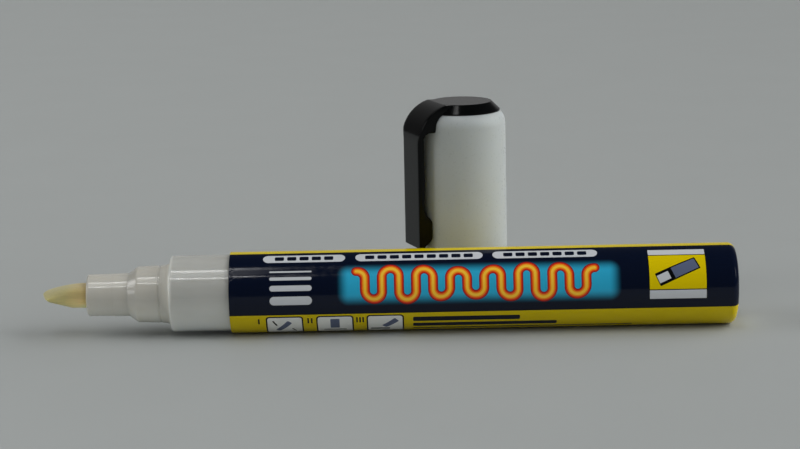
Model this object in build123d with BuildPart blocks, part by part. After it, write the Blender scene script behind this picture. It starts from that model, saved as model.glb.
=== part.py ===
from build123d import *
import os
from math import cos, hypot, pi, radians, sin, sqrt, tan

# Valve-action liquid chalk marker, lying along X with its nib towards -X.
# Its cap stands mouth down behind it, where it is put while the marker is in use.
# Millimetres, +Z up, origin on the table under the middle of the group.

# Fits
press_gap = 0.05
running_gap = 0.1
cap_clearance = 0.1

# Nib
nib_width = 6.0
nib_thickness = 4.35
nib_corner = 1.4
nib_length = 27.0
nib_reach = 9.3
nib_edge = 1.0
nib_edge_drop = 0.1
nib_edge_round_share = 0.45
nib_upper_bevel = 8.2
nib_lower_bevel = 5.6
nib_slant = 14.0
nib_tail_chamfer = 0.6

# Nose
tip_wall = 0.84
tip_draft = 0.1
tip_length = 8.15
tip_round = 0.5
witness_step = 0.06
witness_setback = 5.2
flare_length = 1.8
flare_round = 1.0
chamber_diameter = 8.6
nose_wall = 1.2
nose_draft = 0.2
nose_length = 6.5
collar_step = 0.25
collar_width = 0.8
plug_step = 0.5
plug_length = 9.0
plug_setback = 0.3
bead_radius = 0.45
bead_height = 0.2
snap_setback = 2.1
snap_groove_radius = 0.28
snap_groove_depth = 0.18

# Barrel
neck_wall = 1.0
neck_round_share = 0.85
neck_length = 11.8
shoulder_step = 0.5
body_length = 99.0
film_thickness = 0.1
film_lip = 0.8
ledge_width = 0.4
tail_wall = 1.8
tail_round = 1.3
dish_diameter = 8.0
dish_depth = 0.5
dish_slope = 0.6
reservoir_round = 1.5

# Valve
pump_travel = 2.0
rod_diameter = 2.6
guide_diameter = 2.9
pusher_diameter = 4.4
pusher_thickness = 1.0
orifice_gap = 0.5
seat_flange = 1.6
seat_boss = 2.4
seal_thickness = 0.8
seal_overlap = 1.0
head_step = 0.3
head_thickness = 1.2
cage_ink_gap = 0.9
cage_wall = 0.8
cage_end_wall = 1.2
cage_end_round = 0.6
cage_window_width = 2.6
cage_window_margin = 0.8
guide_end = 0.6
spring_wire = 0.45
spring_turns = 5.5
spring_reserve = 3.0
spring_seat_gap = 0.1
spring_guide_gap = 0.75
ball_diameter = 6.0
ball_gap = 0.1
ball_from_tail = 22.0

# Cap
cap_wall = 1.6
cap_draft = 0.15
cap_mouth_round = 0.4
cap_bore_step = 0.15
cap_deep_draft = 0.25
cap_top_wall = 1.1
neck_headroom = 0.6
nib_headroom = 0.6
shoulder_run = 1.1
shoulder_drop = 2.6
crown_height = 1.95
crown_bevel = 1.7
crown_land = 0.3
crown_round = 0.3
post_diameter = 6.4
post_barb = 0.25
post_barb_height = 0.35
liner_gap = 0.15
liner_wall = 0.8
liner_top_wall = 0.8
liner_mouth_gap = 0.4
liner_rib_count = 6
liner_rib_width = 0.8
liner_rib_setback = 6.0
snap_bead_radius = 0.3
cap_setback = 21.8
cap_offset = 15.5

# Clip
clip_width = 8.1
clip_thickness = 1.25
clip_gap = 0.65
clip_length = 29.1
clip_azimuth = 21.2
clip_shoulder_drop = 7.5
clip_crown_reach = 5.25
clip_root_width = 10.1
clip_flare_drop = 4.6
clip_web_drop = 5.4
clip_web_round = 1.2
clip_bump_height = 2.0
clip_bump_length = 6.6
clip_bump_setback = 0.4

# Radii, from the nib outwards
nib_corner_reach = hypot(nib_width / 2 - nib_corner, nib_thickness / 2 - nib_corner) + nib_corner
tip_front_radius = nib_corner_reach + running_gap + tip_wall
tip_back_radius = tip_front_radius + tip_draft
chamber_radius = chamber_diameter / 2
nose_front_radius = chamber_radius + nose_wall
nose_back_radius = nose_front_radius + nose_draft
collar_radius = nose_back_radius + collar_step
plug_radius = collar_radius + plug_step
mouth_radius = plug_radius + press_gap
neck_radius = mouth_radius + neck_wall
body_radius = neck_radius + shoulder_step
barrel_radius = body_radius - film_thickness
reservoir_radius = mouth_radius - ledge_width
rod_radius = rod_diameter / 2
guide_radius = guide_diameter / 2
orifice_radius = rod_radius + orifice_gap
seal_radius = orifice_radius + seal_overlap
head_radius = seal_radius + head_step
cage_radius = reservoir_radius - cage_ink_gap
cage_bore_radius = cage_radius - cage_wall
ball_radius = ball_diameter / 2
cap_bore_radius = neck_radius + cap_clearance
cap_mouth_radius = cap_bore_radius + cap_wall
cap_top_radius = cap_mouth_radius - cap_draft
cap_deep_radius = cap_bore_radius - cap_bore_step
cap_ceiling_radius = cap_deep_radius - cap_deep_draft
rim_radius = cap_top_radius - shoulder_run
crown_radius = rim_radius - crown_bevel
post_radius = post_diameter / 2
liner_bore_radius = nose_back_radius + liner_gap
liner_radius = liner_bore_radius + liner_wall
liner_fit_radius = cap_ceiling_radius - press_gap
clip_inner_radius = cap_mouth_radius + clip_gap
clip_outer_radius = clip_inner_radius + clip_thickness

# Spring as fitted: its solid height, the pump's travel and a reserve
spring_length = spring_wire * (spring_turns + 1) + pump_travel + spring_reserve

# Stations along the marker
front_length = nib_reach + tip_length + flare_length + nose_length + neck_length
x_tail = (front_length + body_length) / 2
x_barrel_end = x_tail - film_thickness
x_shoulder = x_tail - body_length
x_mouth = x_shoulder - neck_length
x_collar = x_mouth - collar_width
x_snap = x_mouth - snap_setback
x_flare_back = x_mouth - nose_length
x_flare_front = x_flare_back - flare_length
x_nose_front = x_flare_front - tip_length
x_nib_tip = x_nose_front - nib_reach
x_nib_back = x_nib_tip + nib_length
x_plug_back = x_mouth + plug_length
x_ledge = x_plug_back + seat_flange
x_seat_back = x_ledge + seat_boss
x_head_front = x_seat_back + seal_thickness
x_head_back = x_head_front + head_thickness
x_cage_floor = x_head_back + spring_length
x_cage_back = x_cage_floor + cage_end_wall
x_reservoir_end = x_barrel_end - tail_wall
x_plug_bead = x_mouth + plug_length / 2
x_ball = x_reservoir_end - ball_from_tail

# Heights of the cap
cap_length = front_length + nib_headroom + liner_top_wall + cap_top_wall + crown_height
z_shell_top = cap_length - crown_height
z_ceiling = z_shell_top - cap_top_wall
z_liner_ceiling = z_ceiling - liner_top_wall
z_shoulder = z_shell_top - shoulder_drop
z_neck_stop = neck_length + neck_headroom
z_liner_mouth = neck_length + collar_width + liner_mouth_gap
z_snap_bead = neck_length + snap_setback
z_clip_end = cap_length - clip_length
z_clip_web = cap_length - clip_web_drop

# Places on the table
group_depth = body_radius + cap_setback + cap_mouth_radius
marker_y = body_radius - group_depth / 2
cap_y = marker_y + cap_setback
axis_z = body_radius
ball_z = axis_z - (reservoir_radius - ball_radius - ball_gap)

# Sketch planes: x runs along the marker or out from the cap's axis, y is the radius or the height
along_marker = Plane(origin=(0, marker_y, axis_z), x_dir=(1, 0, 0), z_dir=(0, -1, 0))
marker_axis = Axis((0, marker_y, axis_z), (1, 0, 0))
through_cap = Plane(origin=(cap_offset, cap_y, 0), x_dir=(1, 0, 0), z_dir=(0, -1, 0))
cap_axis = Axis((cap_offset, cap_y, 0), (0, 0, 1))
clip_out = Vector(-cos(radians(clip_azimuth)), -sin(radians(clip_azimuth)), 0)
clip_side = clip_out.cross(Vector(0, 0, 1))
through_clip = Plane(origin=(cap_offset, cap_y, 0), x_dir=clip_out, z_dir=clip_side)
across_clip = Plane(origin=(cap_offset, cap_y, 0), x_dir=-clip_side, z_dir=clip_out)


def across_marker(x):
    """Plane square to the marker at station x, with its x across the marker and its y up."""
    return Plane(origin=(x, marker_y, axis_z), x_dir=(0, 1, 0), z_dir=(1, 0, 0))


def save(builder, name):
    """Label a finished piece and write it as its own STEP file."""
    builder.part.label = name
    export_step(builder.part, f"parts/{name}.step")


os.makedirs("parts", exist_ok=True)

# Barrel: neck, shoulder, body and closed tail in one moulding, with a ledge for the valve
neck_round = neck_round_share * min(neck_wall, neck_length)
dish_radius = dish_diameter / 2
with BuildPart() as barrel:
    with BuildSketch(along_marker):
        with BuildLine():
            FilletPolyline(
                (x_mouth, mouth_radius),
                (x_mouth, neck_radius),
                (x_shoulder, neck_radius),
                (x_shoulder, barrel_radius),
                (x_barrel_end, barrel_radius),
                (x_barrel_end, dish_radius),
                (x_barrel_end - dish_depth, dish_radius - dish_slope),
                (x_barrel_end - dish_depth, 0),
                (x_reservoir_end, 0),
                (x_reservoir_end, reservoir_radius),
                (x_ledge, reservoir_radius),
                (x_ledge, mouth_radius),
                radius=[0, neck_round, 0, 0, tail_round, 0, 0, 0, 0, reservoir_round, 0, 0],
                close=True,
            )
        make_face()
    revolve(axis=marker_axis)
    with BuildSketch(along_marker):
        with Locations((x_plug_bead, plug_radius + bead_height - bead_radius)):
            Circle(bead_radius + press_gap)
    revolve(axis=marker_axis, mode=Mode.SUBTRACT)
save(barrel, "barrel")

# Film sleeve: shrunk over the body and drawn round the tail's corner
film_lip_radius = barrel_radius - tail_round - film_lip
with BuildPart() as label_film:
    with BuildSketch(along_marker):
        with BuildLine():
            FilletPolyline(
                (x_shoulder, barrel_radius),
                (x_shoulder, body_radius),
                (x_tail, body_radius),
                (x_tail, film_lip_radius),
                (x_barrel_end, film_lip_radius),
                (x_barrel_end, barrel_radius),
                radius=[0, 0, tail_round + film_thickness, 0, 0, tail_round],
                close=True,
            )
        make_face()
    revolve(axis=marker_axis)
save(label_film, "label_film")

# Nose: stepped nib holder with a snap groove, and a beaded plug pressed into the barrel
x_witness = x_nose_front + witness_setback
with BuildPart() as nose:
    with BuildSketch(along_marker):
        with BuildLine():
            FilletPolyline(
                (x_nose_front, 0),
                (x_nose_front, tip_front_radius),
                (x_witness, tip_back_radius - witness_step),
                (x_witness, tip_back_radius),
                (x_flare_front, tip_back_radius),
                (x_flare_back, nose_front_radius),
                (x_collar, nose_back_radius),
                (x_collar, collar_radius),
                (x_mouth + plug_setback, collar_radius),
                (x_mouth + plug_setback, plug_radius),
                (x_plug_back, plug_radius),
                (x_plug_back, chamber_radius),
                (x_flare_back, chamber_radius),
                (x_flare_back, 0),
                radius=[0, tip_round, 0, 0, 0, flare_round, 0, 0, 0, 0, 0, 0, 0, 0],
                close=True,
            )
        make_face()
    revolve(axis=marker_axis)
    with BuildSketch(along_marker):
        with Locations((x_plug_bead, plug_radius + bead_height - bead_radius)):
            Circle(bead_radius)
    revolve(axis=marker_axis)
    with BuildSketch(along_marker):
        with Locations((x_snap, nose_back_radius + snap_groove_radius - snap_groove_depth)):
            Circle(snap_groove_radius)
    revolve(axis=marker_axis, mode=Mode.SUBTRACT)
    with BuildSketch(across_marker(x_nose_front)):
        RectangleRounded(
            nib_width + 2 * running_gap, nib_thickness + 2 * running_gap, nib_corner + running_gap
        )
    extrude(amount=tip_length + flare_length, mode=Mode.SUBTRACT)
save(nose, "nose")

# Nib: fibre bar whose curved top and straight lower bevel meet in a slanting, rounded edge
slant_run = nib_width / 2 * tan(radians(nib_slant))
slant_out = Vector(cos(radians(nib_slant)), sin(radians(nib_slant)), 0)
along_bevels = Plane(
    origin=(x_nib_tip + slant_run, marker_y, axis_z),
    x_dir=slant_out,
    z_dir=slant_out.cross(Vector(0, 0, 1)),
)
nib_edge_round = nib_edge_round_share * nib_edge
with BuildPart() as nib:
    with BuildSketch(across_marker(x_nib_tip)):
        RectangleRounded(nib_width, nib_thickness, nib_corner)
    extrude(amount=nib_length)
    tail_edges = nib.faces().sort_by(Axis.X)[-1].edges()
    chamfer(tail_edges, length=nib_tail_chamfer)
    with BuildSketch(along_bevels) as bevels:
        with BuildLine():
            FilletPolyline(
                (nib_upper_bevel, nib_thickness / 2),
                (2 * nib_length, nib_thickness / 2),
                (2 * nib_length, -nib_thickness / 2),
                (nib_lower_bevel, -nib_thickness / 2),
                (0, -nib_edge / 2 - nib_edge_drop),
                (0, nib_edge / 2 - nib_edge_drop),
                radius=[0, 0, nib_edge, 0],
            )
            TangentArc(
                (nib_upper_bevel, nib_thickness / 2), (0, nib_edge / 2 - nib_edge_drop), tangent=(-1, 0)
            )
        make_face()
        fillet(bevels.vertices().sort_by(Axis.X)[:2], radius=nib_edge_round)
    extrude(amount=nib_width, both=True, mode=Mode.INTERSECT)
save(nib, "nib")

# Valve seat: flanged ring clamped between the plug and the barrel's ledge
with BuildPart() as valve_seat:
    with BuildSketch(along_marker):
        with BuildLine():
            Polyline(
                (x_plug_back, orifice_radius),
                (x_plug_back, mouth_radius - press_gap),
                (x_ledge, mouth_radius - press_gap),
                (x_ledge, cage_bore_radius - press_gap),
                (x_seat_back, cage_bore_radius - press_gap),
                (x_seat_back, orifice_radius),
                close=True,
            )
        make_face()
    revolve(axis=marker_axis)
save(valve_seat, "valve_seat")

# Valve seal: washer carried by the stem's head
with BuildPart() as valve_seal:
    with BuildSketch(across_marker(x_seat_back)):
        Circle(seal_radius)
        Circle(rod_radius + press_gap, mode=Mode.SUBTRACT)
    extrude(amount=seal_thickness)
save(valve_seal, "valve_seal")

# Valve stem: pusher behind the nib, rod through the seat, head, and guide pin in the cage
with BuildPart() as valve_stem:
    with BuildSketch(along_marker):
        with BuildLine():
            Polyline(
                (x_nib_back, 0),
                (x_nib_back, pusher_diameter / 2),
                (x_nib_back + pusher_thickness, pusher_diameter / 2),
                (x_nib_back + pusher_thickness, rod_radius),
                (x_head_front, rod_radius),
                (x_head_front, head_radius),
                (x_head_back, head_radius),
                (x_head_back, guide_radius),
                (x_cage_back, guide_radius),
                (x_cage_back + guide_end, guide_radius - guide_end / 2),
                (x_cage_back + guide_end, 0),
                close=True,
            )
        make_face()
    revolve(axis=marker_axis)
save(valve_stem, "valve_stem")

# Valve cage: cup snapped over the seat's boss, with ink windows and a hole for the guide pin
window_start = x_seat_back + cage_window_margin
window_end = x_cage_floor - cage_window_margin
with BuildPart() as valve_cage:
    with BuildSketch(along_marker):
        with BuildLine():
            FilletPolyline(
                (x_ledge, cage_bore_radius),
                (x_ledge, cage_radius),
                (x_cage_back, cage_radius),
                (x_cage_back, guide_radius + running_gap),
                (x_cage_floor, guide_radius + running_gap),
                (x_cage_floor, cage_bore_radius),
                radius=[0, 0, cage_end_round, 0, 0, 0],
                close=True,
            )
        make_face()
    revolve(axis=marker_axis)
    for window_plane in (along_marker, Plane(origin=(0, marker_y, axis_z))):
        with BuildSketch(window_plane):
            with Locations(((window_start + window_end) / 2, 0)):
                SlotOverall(window_end - window_start, cage_window_width)
        extrude(amount=cage_radius, both=True, mode=Mode.SUBTRACT)
save(valve_cage, "valve_cage")

# Valve spring: one wire wound in open turns between the head and the cage's end
coil_radius = guide_radius + spring_guide_gap + spring_wire / 2
x_coil = x_head_back + spring_seat_gap + spring_wire / 2
coil_pitch = (spring_length - 2 * spring_seat_gap - spring_wire) / spring_turns


def coil_point(turn):
    """Centre of the wire, a number of turns from the valve's head."""
    angle = 2 * pi * turn
    return Vector(
        x_coil + coil_pitch * turn,
        marker_y + coil_radius * cos(angle),
        axis_z + coil_radius * sin(angle),
    )


def coil_direction(turn):
    """Unit direction of the wire, a number of turns from the valve's head."""
    angle = 2 * pi * turn
    around = 2 * pi * coil_radius
    return Vector(coil_pitch, -around * sin(angle), around * cos(angle)).normalized()


def add_biarc(start, leave, end, arrive):
    """Two tangent arcs between two points, along the given directions at both ends."""
    chord = end - start
    both = leave + arrive
    square = both.dot(both) - 4
    slope = -2 * chord.dot(both)
    reach = (-slope - sqrt(slope**2 - 4 * square * chord.dot(chord))) / (2 * square)
    middle = (start + leave * reach + end - arrive * reach) * 0.5
    TangentArc(start, middle, tangent=leave)
    TangentArc(middle, end, tangent=chord - both * reach)


def least_coil_gap(steps_per_turn=36):
    """Least open space between neighbouring turns, measured on points along the wire."""
    count = round(spring_turns * steps_per_turn)
    points = [coil_point(step / steps_per_turn) for step in range(count + 1)]
    apart = [
        (points[near] - points[far]).length
        for near in range(count + 1)
        for far in range(near + steps_per_turn // 2, count + 1)
    ]
    return min(apart) - spring_wire


quarter_turns = round(4 * spring_turns)
with BuildPart() as valve_spring:
    with BuildLine() as coil:
        for quarter in range(quarter_turns):
            turn = spring_turns * quarter / quarter_turns
            next_turn = spring_turns * (quarter + 1) / quarter_turns
            add_biarc(
                coil_point(turn), coil_direction(turn), coil_point(next_turn), coil_direction(next_turn)
            )
    with BuildSketch(Plane(origin=coil_point(0), z_dir=coil_direction(0))):
        Circle(spring_wire / 2)
    sweep(path=coil.line)
save(valve_spring, "valve_spring")
print("least gap between the spring's turns, mm:", round(least_coil_gap(), 3))

# Mixing ball: loose on the floor of the reservoir
with BuildPart() as mixing_ball:
    with Locations((x_ball, marker_y, ball_z)):
        Sphere(ball_radius)
save(mixing_ball, "mixing_ball")


def draw_cap_side(start_radius, gap):
    """Cap's outside from the mouth plane to the crown's seat, moved out by a gap."""
    side = FilletPolyline(
        (start_radius, 0),
        (cap_mouth_radius + gap, 0),
        (cap_top_radius + gap, z_shoulder),
        radius=cap_mouth_round,
    )
    TangentArc(side @ 1, (rim_radius + gap, z_shell_top), tangent=side % 1)


# Cap shell: drafted tube with a round shoulder, a neck bore and a hole for the crown's post
with BuildPart() as cap_shell:
    with BuildSketch(through_cap):
        with BuildLine():
            draw_cap_side(cap_bore_radius, 0)
            Polyline(
                (rim_radius, z_shell_top),
                (post_radius + press_gap, z_shell_top),
                (post_radius + press_gap, z_ceiling),
                (cap_ceiling_radius, z_ceiling),
                (cap_deep_radius, z_neck_stop),
                (cap_bore_radius, z_neck_stop),
                (cap_bore_radius, 0),
            )
        make_face()
    revolve(axis=cap_axis)
save(cap_shell, "cap_shell")

# Inner cap: liner with a snap bead for the nose's groove, centred in the shell by ribs
rib_foot_radius = liner_radius - liner_wall / 2
rib_length = z_liner_ceiling - z_liner_mouth - liner_rib_setback
with BuildPart() as inner_cap:
    with BuildSketch(through_cap):
        with BuildLine():
            Polyline(
                (liner_bore_radius, z_liner_mouth),
                (liner_radius, z_liner_mouth),
                (liner_radius, z_liner_ceiling),
                (liner_fit_radius, z_liner_ceiling),
                (liner_fit_radius, z_ceiling),
                (post_radius + press_gap, z_ceiling),
                (post_radius + press_gap, z_liner_ceiling),
                (liner_bore_radius, z_liner_ceiling),
                close=True,
            )
        make_face()
    revolve(axis=cap_axis)
    with BuildSketch(through_cap):
        with Locations((liner_bore_radius, z_snap_bead)):
            Circle(snap_bead_radius)
    revolve(axis=cap_axis)
    with BuildSketch(Plane(origin=(cap_offset, cap_y, z_liner_ceiling))):
        with PolarLocations((rib_foot_radius + liner_fit_radius) / 2, liner_rib_count):
            Rectangle(liner_fit_radius - rib_foot_radius, liner_rib_width)
    extrude(amount=-rib_length)
save(inner_cap, "inner_cap")

# Clip and crown: one moulding, whose post is barbed under the inner cap's ceiling
z_arm_shoulder = cap_length - clip_shoulder_drop
z_flare = cap_length - clip_flare_drop
bump_top = z_clip_end + clip_bump_setback + clip_bump_length
bump_middle = z_clip_end + clip_bump_setback + clip_bump_length / 2
with BuildPart() as cap_clip:
    with BuildSketch(through_clip):
        with BuildLine():
            Polyline(
                (clip_crown_reach, cap_length),
                (0, cap_length),
                (0, z_clip_web),
                (clip_inner_radius - clip_web_round, z_clip_web),
            )
            TangentArc(
                (clip_inner_radius, z_clip_web - clip_web_round),
                (clip_inner_radius - clip_web_round, z_clip_web),
                tangent=(0, 1),
            )
            Line((clip_inner_radius, z_clip_web - clip_web_round), (clip_inner_radius, bump_top))
            ThreePointArc(
                (clip_inner_radius, bump_top),
                (clip_inner_radius - clip_bump_height, bump_middle),
                (clip_inner_radius, z_clip_end + clip_bump_setback),
            )
            Polyline(
                (clip_inner_radius, z_clip_end + clip_bump_setback),
                (clip_inner_radius, z_clip_end),
                (clip_outer_radius, z_clip_end),
                (clip_outer_radius, z_arm_shoulder),
            )
            TangentArc(
                (clip_outer_radius, z_arm_shoulder), (clip_crown_reach, cap_length), tangent=(0, 1)
            )
        make_face()
    extrude(amount=clip_root_width / 2, both=True)
    with BuildSketch(across_clip):
        Polygon(
            (-clip_width / 2, z_clip_end),
            (clip_width / 2, z_clip_end),
            (clip_width / 2, z_arm_shoulder),
            (clip_root_width / 2, z_flare),
            (clip_root_width / 2, cap_length),
            (-clip_root_width / 2, cap_length),
            (-clip_root_width / 2, z_flare),
            (-clip_width / 2, z_arm_shoulder),
            align=None,
        )
    extrude(amount=2 * clip_outer_radius, mode=Mode.INTERSECT)
    with BuildSketch(through_cap):
        with BuildLine():
            draw_cap_side(0, press_gap)
            Polyline((rim_radius + press_gap, z_shell_top), (0, z_shell_top), (0, 0))
        make_face()
    revolve(axis=cap_axis, mode=Mode.SUBTRACT)
    with BuildSketch(through_cap):
        with BuildLine():
            FilletPolyline(
                (0, z_liner_ceiling - post_barb_height),
                (post_radius, z_liner_ceiling - post_barb_height),
                (post_radius + post_barb, z_liner_ceiling),
                (post_radius, z_liner_ceiling),
                (post_radius, z_shell_top),
                (rim_radius, z_shell_top),
                (rim_radius, z_shell_top + crown_land),
                (crown_radius, cap_length),
                (0, cap_length),
                radius=[0, 0, 0, 0, 0, 0, 0, crown_round, 0],
                close=True,
            )
        make_face()
    revolve(axis=cap_axis)
    with BuildSketch(through_clip):
        with BuildLine():
            Polyline(
                (clip_outer_radius, z_arm_shoulder),
                (2 * clip_outer_radius, z_arm_shoulder),
                (2 * clip_outer_radius, 2 * cap_length),
                (clip_crown_reach, 2 * cap_length),
                (clip_crown_reach, cap_length),
            )
            TangentArc(
                (clip_outer_radius, z_arm_shoulder), (clip_crown_reach, cap_length), tangent=(0, 1)
            )
        make_face()
    extrude(amount=clip_root_width / 2, both=True, mode=Mode.SUBTRACT)
save(cap_clip, "cap_clip")
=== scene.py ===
from collections import namedtuple
from functools import partial
from math import cos, pi, radians, sin

import bmesh
import bpy
import numpy as np
from mathutils import Matrix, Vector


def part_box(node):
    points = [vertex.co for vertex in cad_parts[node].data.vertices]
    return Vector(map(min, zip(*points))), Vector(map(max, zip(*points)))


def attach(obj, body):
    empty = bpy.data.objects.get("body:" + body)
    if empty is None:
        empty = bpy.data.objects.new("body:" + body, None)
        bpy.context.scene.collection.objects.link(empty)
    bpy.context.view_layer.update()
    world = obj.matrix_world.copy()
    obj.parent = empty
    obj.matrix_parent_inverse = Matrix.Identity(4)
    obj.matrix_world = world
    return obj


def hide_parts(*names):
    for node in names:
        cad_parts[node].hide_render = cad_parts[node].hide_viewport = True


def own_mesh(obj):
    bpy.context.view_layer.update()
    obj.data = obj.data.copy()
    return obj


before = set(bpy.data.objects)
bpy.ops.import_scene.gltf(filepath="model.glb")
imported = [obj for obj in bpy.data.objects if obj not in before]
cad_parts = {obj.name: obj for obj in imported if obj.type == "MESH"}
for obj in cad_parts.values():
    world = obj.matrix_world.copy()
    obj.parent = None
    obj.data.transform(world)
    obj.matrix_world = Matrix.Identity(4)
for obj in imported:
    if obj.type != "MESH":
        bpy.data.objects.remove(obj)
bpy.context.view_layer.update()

bl_info = {
    "name": "Chalk Marker",
    "version": (1, 0, 0),
    "blender": (4, 5, 0),
    "location": "View3D > Sidebar > Chalk Marker",
    "description": "Surfaces, finishes and studio for a valve-action chalk marker and its cap",
    "category": "Object",
}

# The frame's own sizes, in metres: the marker lies along X, the cap stands along Z.
MM = 0.001
FILM_LOW, FILM_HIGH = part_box("label_film")
BARREL_LOW, BARREL_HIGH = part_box("barrel")
NOSE_LOW, NOSE_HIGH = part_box("nose")
NIB_LOW, NIB_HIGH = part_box("nib")
SHELL_LOW, SHELL_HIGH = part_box("cap_shell")
CLIP_LOW, CLIP_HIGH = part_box("cap_clip")
SPRING_LOW, SPRING_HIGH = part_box("valve_spring")
MARKER_AXIS = np.array([0.0, (FILM_LOW.y + FILM_HIGH.y) / 2, (FILM_LOW.z + FILM_HIGH.z) / 2])
CAP_AXIS = np.array([(SHELL_LOW.x + SHELL_HIGH.x) / 2, (SHELL_LOW.y + SHELL_HIGH.y) / 2, 0.0])
NIB_HALF_WIDTH, NIB_HALF_HEIGHT = (NIB_HIGH.y - NIB_LOW.y) / 2, (NIB_HIGH.z - NIB_LOW.z) / 2
# Radius where the cap's side meets its crown
CAP_RIM = 7.95 * MM
# Faces round a turned piece
SEGMENTS = 144
# Range that a noise mostly fills
NOISE_LOW, NOISE_HIGH = 0.3, 0.7


def linear(code):
    """Linear RGB of an sRGB hex colour such as #F4E10A."""
    part = np.array([int(code[i : i + 2], 16) for i in (1, 3, 5)]) / 255
    return tuple(np.where(part <= 0.04045, part / 12.92, ((part + 0.055) / 1.055) ** 2.4))


def length(name, description, millimetres):
    """A length property whose default is given in millimetres."""
    return bpy.props.FloatProperty(
        name=name, description=description, default=millimetres * MM, min=0.0, unit="LENGTH", precision=5
    )


def tilt(name, description, degrees):
    """An angle property whose default is given in degrees."""
    return bpy.props.FloatProperty(
        name=name, description=description, default=radians(degrees), subtype="ANGLE"
    )


def colour(name, description, code):
    """A colour property whose default is given as sRGB hex."""
    return bpy.props.FloatVectorProperty(
        name=name, description=description, default=linear(code), min=0.0, max=1.0, subtype="COLOR"
    )


def number(name, description, default):
    """A plain number, zero or more."""
    return bpy.props.FloatProperty(name=name, description=description, default=default, min=0.0)


class ChalkMarkerSizes(bpy.types.PropertyGroup):
    neck_radius: length("Neck radius", "Bare neck that the cap slides over", 7.5)
    neck_round: length("Neck round", "Round on the neck's front rim", 0.55)
    tail_round: length("Tail round", "Round on the barrel's tail, under the film", 1.3)
    dish_radius: length("Tail dish radius", "Shallow dish in the middle of the tail", 4.0)
    tip_radius: length("Nose tip radius", "Slim front of the nose at its mouth", 4.114)
    flare_round: length("Flare round", "Round where the nose's flare meets its rear", 1.0)
    nib_edge: length("Nib edge", "Thickness of the nib's writing edge", 1.4)
    nib_top_bevel: length("Nib top bevel", "Length of the curved top of the nib", 8.2)
    nib_low_bevel: length("Nib lower bevel", "Length of the straight lower bevel of the nib", 5.3)
    nib_dip: length("Nib dip", "How far the writing edge lies below the nib's axis", 0.1)
    nib_slant: tilt("Nib slant", "Slant of the writing edge", 14)
    crown_radius: length("Crown radius", "Flat top of the cap's crown", 6.25)
    clip_width: length("Clip width", "Width of the clip's arm", 8.1)
    clip_root: length("Clip root", "Width of the clip's arm where it flares to the crown", 10.1)
    clip_line: length("Clip line", "Where the arm leaves the crown's top, from the cap's axis", 5.25)
    clip_drop: length("Clip drop", "Height of the arm's bend", 7.5)
    clip_reach: length("Clip reach", "Clip's outer face from the cap's axis", 11.1)
    clip_round: length("Clip round", "Round on the edges of the clip's arm", 0.15)
    clip_turn: tilt("Clip turn", "Turn of the clip towards the front", 21.2)


class ChalkMarkerColours(bpy.types.PropertyGroup):
    yellow: colour("Sleeve yellow", "Ground colour of the printed sleeve", "#DBC300")
    seam: colour("Seam yellow", "Sleeve yellow where the film overlaps at the back", "#C9B100")
    navy: colour("Panel navy", "Ink of the long panel, the dashes and the bars below", "#060F23")
    black: colour("Line black", "Ink of the outlines and the tally marks", "#07090C")
    pale: colour("Pale grey", "Ink of the capsules, the strokes and the sign's bars", "#C6CACE")
    white: colour("Box white", "Ink of the step boxes", "#EDEEEA")
    slate: colour("Slate", "Ink of the signs in the step boxes and near the tail", "#5C6680")
    cyan: colour("Glow cyan", "Ink of the glowing field", "#2FA9CF")
    maroon: colour("Tube edge", "Outermost ink of the bent tube", "#7E1712")
    red: colour("Tube red", "Outer ink of the bent tube", "#D6331A")
    orange: colour("Tube orange", "Inner ink of the bent tube", "#F08A1C")
    amber: colour("Tube core", "Core of the bent tube", "#F9C43A")
    barrel: colour("Barrel plastic", "White plastic of the barrel", "#B9BAB5")
    natural: colour("Natural plastic", "Unpigmented plastic of the nose", "#C6C4BB")
    cap: colour("Cap plastic", "Plastic of the cap", "#BAC0C0")
    clip: colour("Clip plastic", "Black plastic of the clip and crown", "#070809")
    fibre: colour("Fibre", "Clean fibre at the nib's edge", "#B0A876")
    # Yellowed by ink, and painted lighter to lift the shade that the nose casts near the holder
    stained_and_lit: colour("Stained fibre", "Fibre near the holder, yellowed by ink", "#D5BF87")


class ChalkMarkerStage(bpy.types.PropertyGroup):
    floor: colour("Floor", "Pale card under the marker", "#A9ADAC")
    key: number("Key", "Soft light from the right, a little behind", 2.1)
    fill: number("Fill", "Soft light from the right in front", 1.2)
    window: number("Window", "Brightness of the window and pane on the left and the strip", 3.7)
    panel: number("Panel", "Brightness of the panel overhead", 2.2)
    tubes: number("Tubes", "Brightness of the tubes along both sides of the panel", 8.2)
    room: number("Room", "Level of the room", 0.06)
    backdrop: number("Backdrop", "Level of the wall behind", 0.3)
    lens: number("Lens", "Camera's focal length in millimetres", 100.63)


# Surfaces


def rounded_run(rows, steps=8, guard=0.02 * MM):
    """Straight runs with arcs at their corners, from rows of (along, radius, round).

    A corner that turns by t with round r is left r*tan(t/2) before it, and the arc's points are
    the start's arm turned about the arc's centre in equal steps. A close point outside each end of
    an arc keeps the flats flat where normals are smoothed.
    """
    rows = np.asarray(rows, float)
    corners = rows[:, :2]
    points = [corners[:1]]
    for before, corner, after, radius in zip(corners[:-2], corners[1:-1], corners[2:], rows[1:-1, 2]):
        if radius == 0:
            points.append(corner[None])
            continue
        come = (corner - before) / np.linalg.norm(corner - before)
        leave = (after - corner) / np.linalg.norm(after - corner)
        turn = np.arctan2(come[0] * leave[1] - come[1] * leave[0], come @ leave)
        reach = radius * np.tan(abs(turn) / 2)
        inward = np.sign(turn) * np.array([-come[1], come[0]])
        centre = corner - reach * come + radius * inward
        angle = np.linspace(0, turn, steps + 1)[:, None]
        arm = -radius * inward
        arc = centre + np.cos(angle) * arm + np.sin(angle) * np.array([-arm[1], arm[0]])
        points += [[corner - (reach + guard) * come], arc, [corner + (reach + guard) * leave]]
    return np.concatenate(points + [corners[-1:]])


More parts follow.
